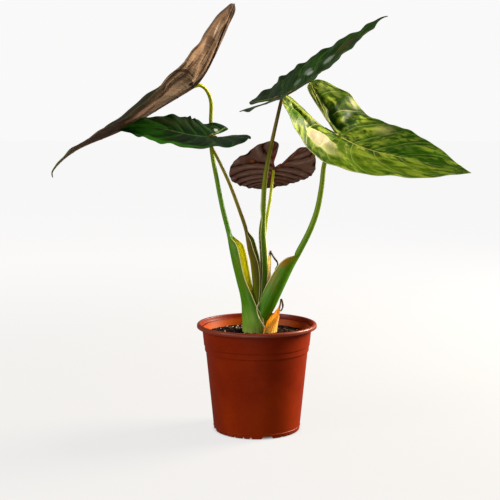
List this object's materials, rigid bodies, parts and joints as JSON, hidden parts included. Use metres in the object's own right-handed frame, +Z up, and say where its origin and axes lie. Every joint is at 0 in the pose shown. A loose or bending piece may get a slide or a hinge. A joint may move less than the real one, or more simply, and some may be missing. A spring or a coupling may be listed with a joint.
{
  "type": "potted alocasia",
  "caption": "Young potted plant with arrow-shaped leaves on tall sheathed stalks, rooted in soil in a round tapered nursery pot that stands on a flat surface.",
  "frame": {"origin": "centre of the pot's underside, on the surface that it stands on", "axes": "+Z up the plant; -Y towards someone who looks at the front of the plant; +X to their right"},
  "size_m": [0.542, 0.2815, 0.5957],
  "materials": {
    "bronze_blade": "satin, tan bronze underside with a dull green upper side",
    "dark_bronze_blade": "satin, purple bronze underside with a dark green upper side",
    "dark_green_blade": "glossy dark green upper side",
    "light_green_blade": "glossy green upper side with pale yellow veins",
    "green_petiole": "satin, yellow green towards the sheath margins",
    "olive_petiole": "satin, olive brown, greener towards the base",
    "lime_petiole": "satin, bright yellow green",
    "dried_cream": "dry and ribbed, brown at the tip",
    "dried_yellow": "dry and ribbed, orange yellow",
    "rhizome_bark": "rough, ringed with leaf scars",
    "potting_soil": "crumbly and damp, with bits of bark and perlite",
    "pot_plastic": "satin moulded plastic"
  },
  "bodies": {
    "root": {"blade_upper_left": "bronze_blade", "blade_left": "dark_green_blade", "blade_back": "dark_bronze_blade", "blade_upper_right": "dark_green_blade", "blade_right": "light_green_blade", "petiole_upper_left": "green_petiole", "petiole_left": "olive_petiole", "petiole_back": "lime_petiole", "petiole_upper_right": "olive_petiole", "petiole_right": "green_petiole", "dried_sheath_tall": "dried_cream", "dried_sheath_base": "dried_yellow", "rhizome": "rhizome_bark", "soil": "potting_soil", "pot": "pot_plastic"}
  },
  "joints": []
}
